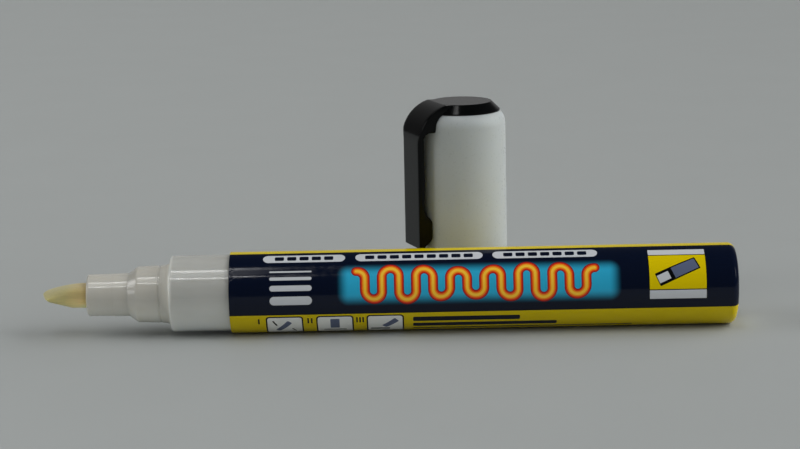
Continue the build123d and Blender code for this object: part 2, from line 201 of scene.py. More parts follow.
def build_object(name, points, faces, material, sharp=38, uv=None):
    """A mesh object at the origin: doubles merged, faces outwards, smooth up to an angle."""
    mesh = bpy.data.meshes.new(name)
    mesh.from_pydata(points.reshape(-1, 3), [], faces)
    if uv is not None:
        mesh.uv_layers.new(name="print").data.foreach_set("uv", np.asarray(uv, np.float32).ravel())
    shape = bmesh.new()
    shape.from_mesh(mesh)
    bmesh.ops.remove_doubles(shape, verts=shape.verts, dist=0.0005 * MM)
    bmesh.ops.recalc_face_normals(shape, faces=shape.faces)
    shape.to_mesh(mesh)
    shape.free()
    mesh.shade_smooth()
    mesh.set_sharp_from_angle(angle=radians(sharp))
    mesh.materials.append(material)
    piece = bpy.data.objects.new(name, mesh)
    bpy.context.scene.collection.objects.link(piece)
    return piece


def grid_faces(rows, columns, start=0):
    """Corner numbers of the squares of a grid whose last column joins its first."""
    index = start + np.arange(rows * columns).reshape(rows, columns)
    beside = np.roll(index, -1, axis=1)
    return np.stack([index[:-1], index[1:], beside[1:], beside[:-1]], -1).reshape(-1, 4)


def bar_faces(rows, columns, ends, start=0):
    """Faces of a bar: a grid round it, and one face over each row that is named as an end."""
    faces = [tuple(face) for face in grid_faces(rows, columns, start)]
    for row in ends:
        first = start + row * columns
        faces.append(tuple(range(first, first + columns)))
    return faces


def turned_points(profile, axis, segments=SEGMENTS):
    """Surface of revolution: each (along, radius) pair is carried once round the axis.

    point = axis point + along * direction + radius * (cos a * front + sin a * side), for a from -pi
    to pi.
    """
    angle = np.linspace(-pi, pi, segments, endpoint=False)
    along, radius = profile[:, 0, None, None], profile[:, 1, None, None]
    x, y, z = np.eye(3)
    if axis is MARKER_AXIS:
        direction, front, side = x, -y, z
    else:
        direction, front, side = z, -y, x
    ring = np.cos(angle)[:, None] * front + np.sin(angle)[:, None] * side
    return axis + along * direction + radius * ring


def turned(name, profile, axis, material):
    """A turned piece of one profile."""
    points = turned_points(profile, axis)
    return build_object(name, points, grid_faces(len(profile), SEGMENTS), material)


def cap_side():
    """Heights and radii of the cap's side: a slight draft, then an arc that ends at the crown's rim."""
    mouth, top = SHELL_HIGH.x - CAP_AXIS[0], SHELL_HIGH.z
    shoulder, upper = top - 2.6 * MM, mouth - 0.15 * MM
    drop, inset = top - shoulder, upper - CAP_RIM
    bend = (inset**2 + drop**2) / (2 * inset)
    angle = np.linspace(0, np.arcsin(drop / bend), 13)
    height = np.concatenate([[0, shoulder - 0.05 * MM], shoulder + bend * np.sin(angle)])
    radius = np.concatenate([[mouth, upper], upper - bend + bend * np.cos(angle)])
    return height, radius


def user_values(context):
    """The sizes and the colours that the panel shows."""
    return context.scene.chalk_marker_sizes, context.scene.chalk_marker_colours


def seat(piece, body, slot, *nodes):
    """Let a piece ride on a body and stand for its solids, which it hides; the finish slot is not used.
    """
    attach(piece, body)
    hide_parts(*nodes)


def finish_node(node, material):
    """Give a solid that keeps its own mesh a new material."""
    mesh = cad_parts[node].data
    mesh.materials.clear()
    mesh.materials.append(material)


# Materials. Socket numbers: a colour mix takes its factor at 0 and its colours at 6 and 7, and gives
# the result at 2; a map range takes its value at 0, where it goes from at 1 and 2, and where to at 3
# and 4.


def set_inputs(node, inputs):
    """Give a node its inputs: each is a value, or a socket that is linked."""
    for key, value in inputs.items():
        if isinstance(value, bpy.types.NodeSocket):
            node.id_data.links.new(value, node.inputs[key])
        else:
            node.inputs[key].default_value = value


def add_node(tree, kind, inputs=None, output=0, **settings):
    """Add a node with its settings and inputs. Gives one of its outputs, or with None the node."""
    node = tree.nodes.new("ShaderNode" + kind)
    for key, value in settings.items():
        setattr(node, key, value)
    set_inputs(node, inputs or {})
    return node if output is None else node.outputs[output]


def start_material(name):
    """An empty material with one principled shader: (material, its node-adding function, shader)."""
    material = bpy.data.materials.new(name)
    material.use_nodes = True
    material.node_tree.nodes.clear()
    add = partial(add_node, material.node_tree)
    shader = add("BsdfPrincipled", output=None)
    add("OutputMaterial", {"Surface": shader.outputs["BSDF"]}, output=None)
    return material, add, shader


def rgba(value, level=1.0):
    """Four socket numbers of a colour at a level."""
    return (*(level * part for part in value), 1.0)


def moulded_plastic(
    name, tone, rough, scatter=0, cloud=0.05, grain_mm=0.45, grain=0.06, ior=1.49, painted_light=()
):
    """Moulded plastic: faint clouds where the melt flowed, and the fine skin of the steel mould.

    Clouds are about 8 mm across; the skin's grain is drawn at grain_mm so that it shows, and scatter
    is how far light spreads in it, in millimetres. Painted light: each entry of the last argument makes
    a milky wall lighter along an axis: the axis, the place where that starts, the place where it is
    full, and how many times lighter it is there.
    """
    material, add, shader = start_material(name)
    place = add("TexCoord", output="Object")
    flow = add("TexNoise", {"Vector": place, "Scale": 1 / (8 * MM), "Detail": 2.0})
    tint = add("Mix", {0: flow, 6: rgba(tone, 1 - cloud), 7: rgba(tone)}, 2, data_type="RGBA")
    skin = add("TexNoise", {"Vector": place, "Scale": 1 / (grain_mm * MM), "Detail": 3.0})
    gloss = add("MapRange", {0: skin, 1: NOISE_LOW, 2: NOISE_HIGH, 3: rough - 0.04, 4: rough + 0.06})
    bump = add("Bump", {"Strength": grain, "Distance": 0.03 * MM, "Height": skin})
    # Painted light: the colour is made lighter along the given axes
    if painted_light:
        axes = add("SeparateXYZ", {0: place}, output=None).outputs
        gain = 1.0
        for axis, start, end, most in painted_light:
            ramp = add("MapRange", {0: axes[axis], 1: start, 2: end, 3: 1.0, 4: most})
            gain = add("Math", {0: ramp, 1: gain}, operation="MAXIMUM")
        tint = add("VectorMath", {0: tint, "Scale": gain}, operation="SCALE")
    set_inputs(shader, {"Base Color": tint, "Roughness": gloss, "Normal": bump, "IOR": ior})
    if scatter:
        set_inputs(shader, {"Subsurface Weight": 0.65, "Subsurface Radius": (1.0, 0.92, 0.8)})
        set_inputs(shader, {"Subsurface Scale": scatter * MM})
    return material


def fibre_nib_material(colours):
    """Polyester fibre, drawn into a bar and cut: fibres run along the nib, cleaner at the cut edge.

    Real fibres are about 0.03 mm; they are drawn 0.16 mm wide and 5 mm long so that they show.
    """
    material, add, shader = start_material("Polyester fibre, cut")
    place = add("TexCoord", output="Object")
    across, lengthways = 1 / (0.16 * MM), 1 / (5 * MM)
    drawn = add("Mapping", {"Vector": place, "Scale": (lengthways, across, across)})
    strands = add("TexNoise", {"Vector": drawn, "Scale": 1.0, "Detail": 3.0})
    # Ink has soaked forwards from the holder, with an edge in blotches about 2.2 mm across. The stained
    # fibre is also painted lighter, lifting the shade that the nose casts on the nib's rear.
    blotch = add("TexNoise", {"Vector": place, "Scale": 1 / (2.2 * MM), "Detail": 2.0})
    axes = add("SeparateXYZ", {0: place}, output=None).outputs
    clean, full = NIB_LOW.x + 4.6 * MM, NIB_LOW.x + 8.6 * MM
    reach = add("MapRange", {0: axes["X"], 1: clean, 2: full, 3: -0.32, 4: 0.63}, clamp=False)
    stain_and_light = add("Math", {0: blotch, 1: 0.5, 2: reach}, operation="MULTIPLY_ADD", use_clamp=True)
    tones = {0: stain_and_light, 6: rgba(colours.fibre), 7: rgba(colours.stained_and_lit)}
    ground = add("Mix", tones, 2, data_type="RGBA")
    streak = add("MapRange", {0: strands, 1: NOISE_LOW, 2: NOISE_HIGH, 3: 0.86, 4: 1.04})
    # Painted light: the underside is made lighter, up to 1.75 times, to lift the shade on it
    high, low = MARKER_AXIS[2] + 0.9 * MM, MARKER_AXIS[2] - 1.5 * MM
    under = add("MapRange", {0: axes["Z"], 1: high, 2: low, 3: 0.96, 4: 1.75})
    gain = add("Math", {0: streak, 1: under}, operation="MULTIPLY")
    shade = add("VectorMath", {0: ground, "Scale": gain}, operation="SCALE")
    bump = add("Bump", {"Strength": 0.5, "Distance": 0.06 * MM, "Height": strands})
    set_inputs(shader, {"Base Color": shade, "Normal": bump, "Roughness": 0.85, "Sheen Weight": 0.2})
    set_inputs(shader, {"Subsurface Weight": 0.9, "Subsurface Radius": (1.0, 0.9, 0.6)})
    set_inputs(shader, {"Subsurface Scale": 3.0 * MM})
    return material


def steel(name, tone, rough, grain_mm):
    """Bright steel: drawn or ground, with a fine grain in its gloss."""
    material, add, shader = start_material(name)
    place = add("TexCoord", output="Object")
    grain = add("TexNoise", {"Vector": place, "Scale": 1 / (grain_mm * MM), "Detail": 2.0})
    gloss = add("MapRange", {0: grain, 1: NOISE_LOW, 2: NOISE_HIGH, 3: 0.7 * rough, 4: 1.4 * rough})
    set_inputs(shader, {"Base Color": rgba(tone), "Roughness": gloss, "Metallic": 1.0})
    return material


# Printed sleeve. Its map is in millimetres: u from the shoulder towards the tail, v up round the
# barrel from its front.

# Each print is a box with round corners: ink, centre, half size, corner, turn in degrees, softness of
# the edge, and the period and half length of the dashes that it is cut into, or 0.
Print = namedtuple("Print", "ink centre half corner turn soft period dash", defaults=(0.1, 0, 0.05, 0, 0))
# Middle of the sleeve, a half length that runs past both of its ends, the line along its back where
# the film overlaps itself, and half the overlap
MIDDLE, ALL_ALONG, BACK, OVERLAP = 49.5, 80, 25.13, 2.0
# Heights of the rows of capsules, step boxes and tally marks
CAPSULES, BOXES, TALLIES = 9.13, -6.6, -4.7
# Bent tube: its middle height, the step between its straights, half the length of the straights,
# their swell and its wave, and the places of its two ends
TUBE_MIDDLE, TUBE_STEP, TUBE_STRAIGHT, TUBE_SWELL, TUBE_WAVE = 2.9, 3.3, 1.15, 0.35, 26.4
TUBE_ENDS = (7.5 * TUBE_STEP, 21.5 * TUBE_STEP)
TUBE_INKS = (("maroon", 0.98), ("red", 0.8), ("orange", 0.52), ("amber", 0.26))
# A distance that no ink reaches
FAR = 100.0


def sleeve_prints():
    """All prints on the sleeve but the bent tube, in the order in which they are laid."""
    prints = [
        Print("seam", (MIDDLE, BACK), (ALL_ALONG, OVERLAP), soft=0.1),
        Print("seam", (MIDDLE, -BACK), (ALL_ALONG, OVERLAP), soft=0.1),
        Print("black", (MIDDLE, 4.1), (ALL_ALONG, 7.2)),
        Print("navy", (MIDDLE, 4.1), (ALL_ALONG, 7.0)),
        Print("cyan", (48.5, TUBE_MIDDLE), (26.4, 3.1), 1.2, soft=2.6),
    ]
    # Capsules: place, half length, and half length of the dashes in them
    for u, half, dashes in ((14.6, 8.0, 5.9), (37.0, 12.4, 10.7), (61.5, 10.2, 8.4)):
        prints.append(Print("pale", (u, CAPSULES), (half, 1.13), 1.12))
        prints.append(Print("navy", (u, CAPSULES), (dashes, 0.6), 0.3, period=2.4, dash=0.9))
    # Strokes of growing width: height and half width
    for v, half in ((5.75, 0.17), (4.3, 0.33), (2.4, 0.55), (-0.05, 0.85)):
        prints.append(Print("pale", (12.0, v), (4.1, half), half - 0.01))
    # Sign near the tail: two bars, and a slanting nib in its holder between them
    prints += [
        Print("black", (87.0, 4.25), (5.65, 5.5)),
        Print("pale", (87.0, 8.85), (5.5, 0.76)),
        Print("pale", (87.0, -0.25), (5.5, 0.86)),
        Print("yellow", (87.0, 4.35), (5.5, 3.55)),
        Print("black", (87.0, 4.35), (4.3, 1.35), 0.15, turn=24),
        Print("slate", (88.4, 4.98), (2.5, 1.1), turn=24),
        Print("pale", (84.3, 3.15), (1.2, 0.8), turn=24),
    ]
    # Step boxes, then what is in them: shaken, pressed down, and drawing a line
    for u in (10.6, 20.4, 30.2):
        prints.append(Print("black", (u, BOXES), (3.65, 3.15), 0.7))
        prints.append(Print("white", (u, BOXES), (3.35, 2.85), 0.5))
    prints += [
        Print("slate", (10.4, -6.5), (0.55, 2.0), 0.3, turn=-38),
        Print("black", (8.7, -5.3), (0.16, 0.8), turn=28),
        Print("black", (12.4, -7.9), (0.16, 0.8), turn=28),
        Print("slate", (20.4, -5.8), (0.9, 1.5), 0.2),
        Print("black", (20.4, -8.1), (2.2, 0.2), 0.15),
        Print("slate", (31.2, -5.9), (0.6, 1.7), 0.2, turn=-48),
        Print("black", (29.2, -8.0), (1.9, 0.3), 0.25),
    ]
    for u in (5.6, 15.2, 15.9, 24.7, 25.3, 25.9):
        prints.append(Print("black", (u, TALLIES), (0.16, 0.75)))
    # Bars below the panel
    prints += [
        Print("navy", (46.0, -4.75), (10.4, 0.62), 0.3),
        Print("navy", (49.6, -6.6), (14.0, 0.62), 0.3),
        Print("navy", (57.0, -8.2), (21.4, 0.22), 0.2),
    ]
    return prints


def lay_ink(add, ground, ink, distance, edge, soft):
    """Cover a ground with an ink where a distance is below an edge; soft is the width of the change."""
    fade = {0: distance, 1: edge - soft / 2, 2: edge + soft / 2, 3: 1.0, 4: 0.0}
    cover = add("MapRange", fade, interpolation_type="SMOOTHSTEP")
    return add("Mix", {0: cover, 6: ground, 7: rgba(ink)}, 2, data_type="RGBA")


def box_distance(add, point, half, corner):
    """Distance in millimetres to a box with round corners: |max(|p| - half + corner, 0)| - corner."""
    fold = add("VectorMath", {0: point}, operation="ABSOLUTE")
    inner = (half[0] - corner, half[1] - corner, 0)
    beyond = add("VectorMath", {0: fold, 1: inner}, operation="SUBTRACT")
    outside = add("VectorMath", {0: beyond, 1: (0, 0, 0)}, operation="MAXIMUM")
    reach = add("VectorMath", {0: outside}, "Value", operation="LENGTH")
    return add("Math", {0: reach, 1: corner}, operation="SUBTRACT")


def tube_distance(add, point, u, v):
    """Distance in millimetres to the bent tube's middle line.

    Straights stand a step apart, and half circles join them at the top and the bottom in turn: with
    a from the nearest half circle's centre and w beyond the straights, it is ||(a, w)| - step/2|. The
    tube is cut at two of the tops, and a round end is the distance to the cut's own point.
    """
    rise = add("Math", {0: v, 1: TUBE_MIDDLE}, operation="SUBTRACT")
    side = add("Math", {0: rise}, operation="SIGN")
    shift = add("Math", {0: side, 1: TUBE_STEP / 2, 2: u}, operation="MULTIPLY_ADD")
    across = add("Math", {0: shift, 1: TUBE_STEP, 2: -TUBE_STEP}, operation="WRAP")
    turn = add("Math", {0: u, 1: 2 * pi / TUBE_WAVE}, operation="MULTIPLY")
    swell = add("Math", {0: turn}, operation="SINE")
    straight = add("Math", {0: swell, 1: TUBE_SWELL, 2: TUBE_STRAIGHT}, operation="MULTIPLY_ADD")
    high = add("Math", {0: rise}, operation="ABSOLUTE")
    over = add("Math", {0: high, 1: straight}, operation="SUBTRACT")
    beyond = add("Math", {0: over, 1: 0.0}, operation="MAXIMUM")
    arm = add("CombineXYZ", {0: across, 1: beyond})
    reach = add("VectorMath", {0: arm}, "Value", operation="LENGTH")
    from_line = add("Math", {0: reach, 1: TUBE_STEP / 2}, operation="SUBTRACT")
    distance = add("Math", {0: from_line}, operation="ABSOLUTE")
    middle, half_run = sum(TUBE_ENDS) / 2, (TUBE_ENDS[1] - TUBE_ENDS[0]) / 2
    within = add("Math", {0: u, 1: middle, 2: half_run}, operation="COMPARE")
    past = add("Math", {0: 1.0, 1: within}, operation="SUBTRACT")
    distance = add("Math", {0: past, 1: FAR, 2: distance}, operation="MULTIPLY_ADD")
    for end in TUBE_ENDS:
        top = TUBE_MIDDLE + TUBE_STRAIGHT + TUBE_SWELL * sin(2 * pi * end / TUBE_WAVE) + TUBE_STEP / 2
        round_end = add("VectorMath", {0: point, 1: (end, top, 0)}, "Value", operation="DISTANCE")
        distance = add("Math", {0: distance, 1: round_end}, operation="MINIMUM")
    return distance


def printed_film_material(colours):
    """Shrink film printed on its inside: deep flat inks under a clear gloss, crinkled at both ends."""
    material, add, shader = start_material("Printed shrink film")
    point = add("UVMap", uv_map="print")
    u, v = add("SeparateXYZ", {0: point}, output=None).outputs[:2]
    # Ink mottles over about 3 mm
    mottle = add("TexNoise", {"Vector": point, "Scale": 1 / 3.0, "Detail": 3.0})
    tones = {0: mottle, 6: rgba(colours.yellow, 0.95), 7: rgba(colours.yellow, 1.03)}
    ground = add("Mix", tones, 2, data_type="RGBA")
    for ink, centre, half, corner, turn, soft, period, dash in sleeve_prints():
        placing = {"Vector": point, "Location": (*centre, 0), "Rotation": (0, 0, radians(turn))}
        local = add("Mapping", placing, vector_type="TEXTURE")
        distance = box_distance(add, local, half, corner)
        if period:
            along, across = add("SeparateXYZ", {0: local}, output=None).outputs[:2]
            wrapped = add("Math", {0: along, 1: period / 2, 2: -period / 2}, operation="WRAP")
            repeat = add("CombineXYZ", {0: wrapped, 1: across})
            dashes = box_distance(add, repeat, (dash, half[1]), corner)
            distance = add("Math", {0: distance, 1: dashes}, operation="MAXIMUM")
        ground = lay_ink(add, ground, getattr(colours, ink), distance, 0.0, soft)
        # The bent tube lies on the glow
        if ink == "cyan":
            tube = tube_distance(add, point, u, v)
            for tube_ink, edge in TUBE_INKS:
                ground = lay_ink(add, ground, getattr(colours, tube_ink), tube, edge, 0.08)
    # Scuffs about 1.4 mm across dull the gloss a little
    scuff = add("TexNoise", {"Vector": point, "Scale": 1 / 1.4, "Detail": 5.0})
    gloss = add("MapRange", {0: scuff, 1: 0.35, 2: 0.75, 3: 0.07, 4: 0.17})
    # Crinkles about 0.5 mm wide in the 1.4 mm next to the shoulder, and faint ones round the tail
    span = (FILM_HIGH.x - FILM_LOW.x) / MM
    front = add("MapRange", {0: u, 1: 1.4, 2: 0.1, 3: 0.03, 4: 1.0})
    tail = add("MapRange", {0: u, 1: span - 2.0, 2: span, 3: 0.03, 4: 0.25})
    ends = add("Math", {0: front, 1: tail}, operation="MAXIMUM")
    crease = add("Mapping", {"Vector": point, "Scale": (1 / 1.1, 1 / 0.5, 1.0)})
    crinkle = add("TexNoise", {"Vector": crease, "Scale": 1.0, "Detail": 2.0})
    swing = add("Math", {0: crinkle, 1: 0.5}, operation="SUBTRACT")
    # Seam: where the film overlaps itself it stands a little higher
    side = add("Math", {0: v}, operation="ABSOLUTE")
    edge = BACK - OVERLAP
    seam = add("MapRange", {0: side, 1: edge - 0.08, 2: edge + 0.12, 3: 0.0, 4: 0.3})
    height = add("Math", {0: swing, 1: ends, 2: seam}, operation="MULTIPLY_ADD")
    bump = add("Bump", {"Strength": 0.45, "Distance": 0.15 * MM, "Height": height})
    set_inputs(shader, {"Base Color": ground, "Roughness": gloss, "Normal": bump, "IOR": 1.33})
    return material


# Operators, one for each piece or group of like pieces


class CHALKMARKER_OT_barrel(bpy.types.Operator):
    """Turn the barrel: neck, shoulder, body, dished tail and reservoir"""

    bl_idname = "chalkmarker.barrel"
    bl_label = "Barrel"

    def execute(self, context):
        sizes, colours = user_values(context)
        front, shoulder, end = BARREL_LOW.x, FILM_LOW.x, BARREL_HIGH.x
        neck, body = sizes.neck_radius, BARREL_HIGH.z - MARKER_AXIS[2]
        dish, dish_floor = sizes.dish_radius, end - 0.5 * MM
        # The plug's bore runs to a ledge, and the reservoir behind it to the tail's wall
        bore, ledge = 6.5 * MM, front + 10.6 * MM
        reservoir, wall = 6.1 * MM, end - 1.8 * MM
        rows = [
            (dish_floor, 0, 0),
            (dish_floor, dish - 0.6 * MM, 0.2 * MM),
            (end, dish, 0.2 * MM),
            (end, body, sizes.tail_round),
            (shoulder, body, 0),
            (shoulder, neck, 0),
            (front, neck, sizes.neck_round),
            (front, bore, 0.08 * MM),
            (ledge, bore, 0),
            (ledge, reservoir, 0),
            (wall, reservoir, 1.5 * MM),
            (wall, 0, 0),
        ]
        profile = rounded_run(rows)
        # Polypropylene is waxy and lets a little light in. Painted light: its colour is lighter low down,
        # up to 1.9 times at the bottom, for light from the floor through the wall, with a faint step
        # where that starts, and lighter at the front rim for a painted glow there.
        pale_band_top = 8.6 * MM
        painted_light = (
            ("Z", pale_band_top + 0.1 * MM, pale_band_top - 0.1 * MM, 1.05),
            ("Z", pale_band_top, 2.2 * MM, 1.9),
            ("X", front + 0.8 * MM, front, 1.65),
        )
        name = "White polypropylene, moulded"
        plastic = moulded_plastic(name, colours.barrel, rough=0.11, scatter=2.0, painted_light=painted_light)
        piece = turned("barrel_moulding", profile, MARKER_AXIS, plastic)
        seat(piece, "marker", "white_polypropylene", "barrel")
        return {"FINISHED"}


class CHALKMARKER_OT_film(bpy.types.Operator):
    """Draw the printed film over the body and round the tail"""

    bl_idname = "chalkmarker.film"
    bl_label = "Printed film"

    def execute(self, context):
        sizes, colours = user_values(context)
        outer, inner = FILM_HIGH.z - MARKER_AXIS[2], BARREL_HIGH.z - MARKER_AXIS[2]
        film = outer - inner
        lip = inner - sizes.tail_round - 0.8 * MM
        rows = [
            (FILM_LOW.x, inner, 0),
            (FILM_LOW.x, outer, 0.05 * MM),
            (FILM_HIGH.x, outer, sizes.tail_round + film),
            (FILM_HIGH.x, lip, 0.04 * MM),
            (BARREL_HIGH.x, lip, 0),
            (BARREL_HIGH.x, inner, sizes.tail_round),
            (FILM_LOW.x, inner, 0),
        ]
        profile = rounded_run(rows)
        segments = 192
        points = turned_points(profile, MARKER_AXIS, segments)
        # Map: u is the length of the profile from the shoulder, v the turn times the outer radius
        steps = np.linalg.norm(np.diff(profile, axis=0), axis=1)
        u = (np.concatenate([[0], np.cumsum(steps)]) - film) / MM
        v = np.linspace(-pi, pi, segments + 1) * outer / MM
        grid = np.stack(np.meshgrid(u, v, indexing="ij"), -1)
        uv = np.stack([grid[:-1, :-1], grid[1:, :-1], grid[1:, 1:], grid[:-1, 1:]], 2)
        faces = grid_faces(len(profile), segments)
        piece = build_object("film_sleeve", points, faces, printed_film_material(colours), uv=uv)
        seat(piece, "marker", "printed_film", "label_film")
        return {"FINISHED"}


class CHALKMARKER_OT_nose(bpy.types.Operator):
    """Turn the nose: slim tip, flare, grooved rear and plug, with a chisel-nib hole"""

    bl_idname = "chalkmarker.nose"
    bl_label = "Nose"

    def execute(self, context):
        sizes, colours = user_values(context)
        front, back, mouth = NOSE_LOW.x, NOSE_HIGH.x, BARREL_LOW.x
        flare, groove, collar = mouth - 6.5 * MM, mouth - 2.1 * MM, mouth - 0.8 * MM
        # Radii: the tip at its mouth and behind its step, the flare's end, the groove's floor, the
        # collar, the plug and the hollow in it
        tip, step, rear, floor = sizes.tip_radius, sizes.tip_radius + 0.1 * MM, 5.5 * MM, 5.54 * MM
        rim, plug, hollow = 5.8 * MM, 6.45 * MM, 4.3 * MM
        # Both ends of the hole start here, and are moved to its own outline below
        inside = 3.0 * MM
        rows = [
            (front, inside, 0),
            (front, tip, 0.5 * MM),
            (front + 5.2 * MM, tip + 0.04 * MM, 0),
            (front + 5.22 * MM, step, 0),
            (flare - 1.8 * MM, step, 0.6 * MM),
            (flare, rear, sizes.flare_round),
            (groove - 0.25 * MM, floor + 0.115 * MM, 0.06 * MM),
            (groove - 0.14 * MM, floor, 0.06 * MM),
            (groove + 0.14 * MM, floor, 0.06 * MM),
            (groove + 0.25 * MM, floor + 0.12 * MM, 0.06 * MM),
            (collar, rim, 0.9 * MM),
            (mouth - 0.2 * MM, rim + 0.22 * MM, 0.5 * MM),
            (mouth + 0.3 * MM, plug - 0.05 * MM, 0),
            (mouth + 0.3 * MM, plug, 0),
            (back, plug, 0),
            (back, hollow, 0),
            (flare, hollow, 0),
            (flare, inside, 0),
        ]
        outside = rounded_run(rows)
        # Hole: |cos a / half width|^4 + |sin a / half height|^4 = 1 / radius^4, eased at the mouth
        gap, ease = 0.1 * MM, 0.15 * MM
        profile = np.concatenate([outside, [(flare, 0), (front + ease, 0), (front, 0)]])
        points = turned_points(profile, MARKER_AXIS)
        angle = np.linspace(-pi, pi, SEGMENTS, endpoint=False)
        width, height = NIB_HALF_WIDTH + gap, NIB_HALF_HEIGHT + gap
        hole = ((np.abs(np.cos(angle)) / width) ** 4 + (np.abs(np.sin(angle)) / height) ** 4) ** -0.25
        ring = np.stack([np.zeros(SEGMENTS), -np.cos(angle), np.sin(angle)], -1)
        at = len(outside)
        points[at : at + 3] += ring * (hole + np.array([0, 0, ease])[:, None])[:, :, None]
        points[0] = points[-1]
        points[at - 1] = points[at]
        # Left without pigment it is milky. Painted light: its colour is lighter low down, for light from
        # the floor, and towards the plug, lifting the shade that the barrel's shoulder casts there.
        painted_light = (("Z", 8.0 * MM, 5.0 * MM, 1.55), ("X", groove, mouth, 1.6))
        name = "Natural polypropylene, moulded"
        plastic = moulded_plastic(name, colours.natural, rough=0.12, scatter=2.0, cloud=0.08, painted_light=painted_light)
        piece = build_object("nose_moulding", points, grid_faces(len(profile), SEGMENTS), plastic)
        seat(piece, "marker", "milky_polypropylene", "nose")
        return {"FINISHED"}


class CHALKMARKER_OT_nib(bpy.types.Operator):
    """Cut the fibre nib: a rounded bar with a curved top, a lower bevel and a slanting edge"""

    bl_idname = "chalkmarker.nib"
    bl_label = "Nib"

    def execute(self, context):
        sizes, colours = user_values(context)
        slant, edge, dip = np.tan(sizes.nib_slant), sizes.nib_edge / 2, sizes.nib_dip
        run = NIB_HIGH.x - NIB_LOW.x
        rows, columns = 121, 96
        # t runs back from the edge, finely at first; a runs round the section
        t = run * np.linspace(0, 1, rows)[:, None] ** 2.2
        angle = np.linspace(-pi, pi, columns, endpoint=False)[None]
        # Top: an arc that leaves the full height at the bevel's end and drops to the edge; below: a
        # straight bevel. Both close in a quarter ellipse at the edge.
        close = np.sqrt(1 - (1 - np.clip(t / (1.6 * edge), 0, 1)) ** 2)
        drop = NIB_HALF_HEIGHT - edge + dip
        bend = (sizes.nib_top_bevel**2 + drop**2) / (2 * drop)
        left = np.clip(sizes.nib_top_bevel - t, 0, None)
        top = NIB_HALF_HEIGHT - (bend - np.sqrt(bend**2 - left**2))
        low = edge + dip + (NIB_HALF_HEIGHT - edge - dip) * np.clip(t / sizes.nib_low_bevel, 0, 1)
        middle, half = (top - low) / 2, close * (top + low) / 2
        # Section: |y / half width|^p + |z / half height|^p = 1, with p from 2.2 at the edge to 4
        power = 2.2 + 1.8 * np.clip(t / sizes.nib_top_bevel, 0, 1)
        y = NIB_HALF_WIDTH * np.sign(np.cos(angle)) * np.abs(np.cos(angle)) ** (2 / power)
        z = middle + half * np.sign(np.sin(angle)) * np.abs(np.sin(angle)) ** (2 / power)
        # Edge: slanting in plan, with its two corners eased back
        ease = (0.3 * (y / NIB_HALF_WIDTH) ** 4 - 0.2) * MM * (1 - t / run)
        x = np.minimum(NIB_LOW.x + t + slant * (NIB_HALF_WIDTH - y) + ease, NIB_HIGH.x)
        points = np.stack([x, MARKER_AXIS[1] + y, MARKER_AXIS[2] + z], -1)
        faces = bar_faces(rows, columns, ends=[rows - 1])
        piece = build_object("fibre_nib", points, faces, fibre_nib_material(colours), sharp=50)
        seat(piece, "pump", "nib_fibre", "nib")
        return {"FINISHED"}


class CHALKMARKER_OT_valve(bpy.types.Operator):
    """Finish the valve's pieces, its spring and the mixing ball"""

    bl_idname = "chalkmarker.valve"
    bl_label = "Valve and ball"

    def execute(self, context):
        # Acetal is dense and waxy; nitrile rubber dull and black; wire and ball are bright steel
        milk, soot = linear("#E4E3DC"), linear("#1B1B1C")
        acetal = moulded_plastic("Acetal, moulded", milk, rough=0.32, scatter=0.6, grain_mm=0.3)
        nitrile = moulded_plastic("Nitrile rubber, cut", soot, rough=0.75, grain_mm=0.2, grain=0.3)
        wire = steel("Spring steel wire, drawn", linear("#C9CACB"), rough=0.22, grain_mm=0.12)
        ball = steel("Bearing steel, polished", linear("#D2D3D4"), rough=0.08, grain_mm=0.5)
        for node in ("valve_seat", "valve_stem", "valve_cage"):
            finish_node(node, acetal)
        finish_node("valve_seal", nitrile)
        finish_node("mixing_ball", ball)
        # Spring: the wire's centre goes forward evenly while it turns; its section is a circle in the
        # plane through the axis.
        half_wire, turns = 0.225 * MM, 5.5
        rows, columns = 199, 12
        along = np.linspace(0, 1, rows)[:, None]
        section = np.linspace(-pi, pi, columns, endpoint=False)[None]
        rest = SPRING_HIGH.x - SPRING_LOW.x
        reach = (SPRING_HIGH.z - SPRING_LOW.z) / 2 - half_wire + half_wire * np.cos(section)
        x = SPRING_LOW.x + half_wire + (rest - 2 * half_wire) * along + half_wire * np.sin(section)
        turn = 2 * pi * turns * along
        y, z = MARKER_AXIS[1] + reach * np.cos(turn), MARKER_AXIS[2] + reach * np.sin(turn)
        faces = bar_faces(rows, columns, ends=[0, rows - 1])
        spring = build_object("coil_spring", np.stack([x, y, z], -1), faces, wire)
        seat(spring, "marker", "spring_steel", "valve_spring")
        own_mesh(spring)
        return {"FINISHED"}


class CHALKMARKER_OT_cap(bpy.types.Operator):
    """Turn the cap's shell and finish its liner"""

    bl_idname = "chalkmarker.cap"
    bl_label = "Cap"

    def execute(self, context):
        colours = context.scene.chalk_marker_colours
        side = np.stack(cap_side(), -1)
        # The mouth's bore ends at a ledge. The bore above it tapers from wide to narrow up to the roof,
        # which has a hole for the crown's post.
        mouth, lead, ledge = 7.6 * MM, 0.25 * MM, 12.4 * MM
        top, roof, hole = SHELL_HIGH.z, SHELL_HIGH.z - 1.1 * MM, 3.25 * MM
        rows = [(lead, mouth, 0), (0, mouth + 0.1 * MM, 0.05 * MM), (*side[0], 0.4 * MM), (*side[1], 0)]
        foot = rounded_run(rows)
        wide, narrow = 7.45 * MM, 7.2 * MM
        inside = [(top, hole), (roof, hole), (roof, narrow), (ledge, wide), (ledge, mouth), (lead, mouth)]
        name = "Cap polypropylene, moulded"
        plastic = moulded_plastic(name, colours.cap, rough=0.3, scatter=3.0, cloud=0.04)
        piece = turned("cap_moulding", np.concatenate([foot, side[2:], inside]), CAP_AXIS, plastic)
        seat(piece, "cap", "cap_polypropylene", "cap_shell")
        # Polyethylene is softer and waxier than the shell
        liner = moulded_plastic("Polyethylene, moulded", linear("#E6E7E2"), rough=0.4, scatter=2.0)
        finish_node("inner_cap", liner)
        return {"FINISHED"}


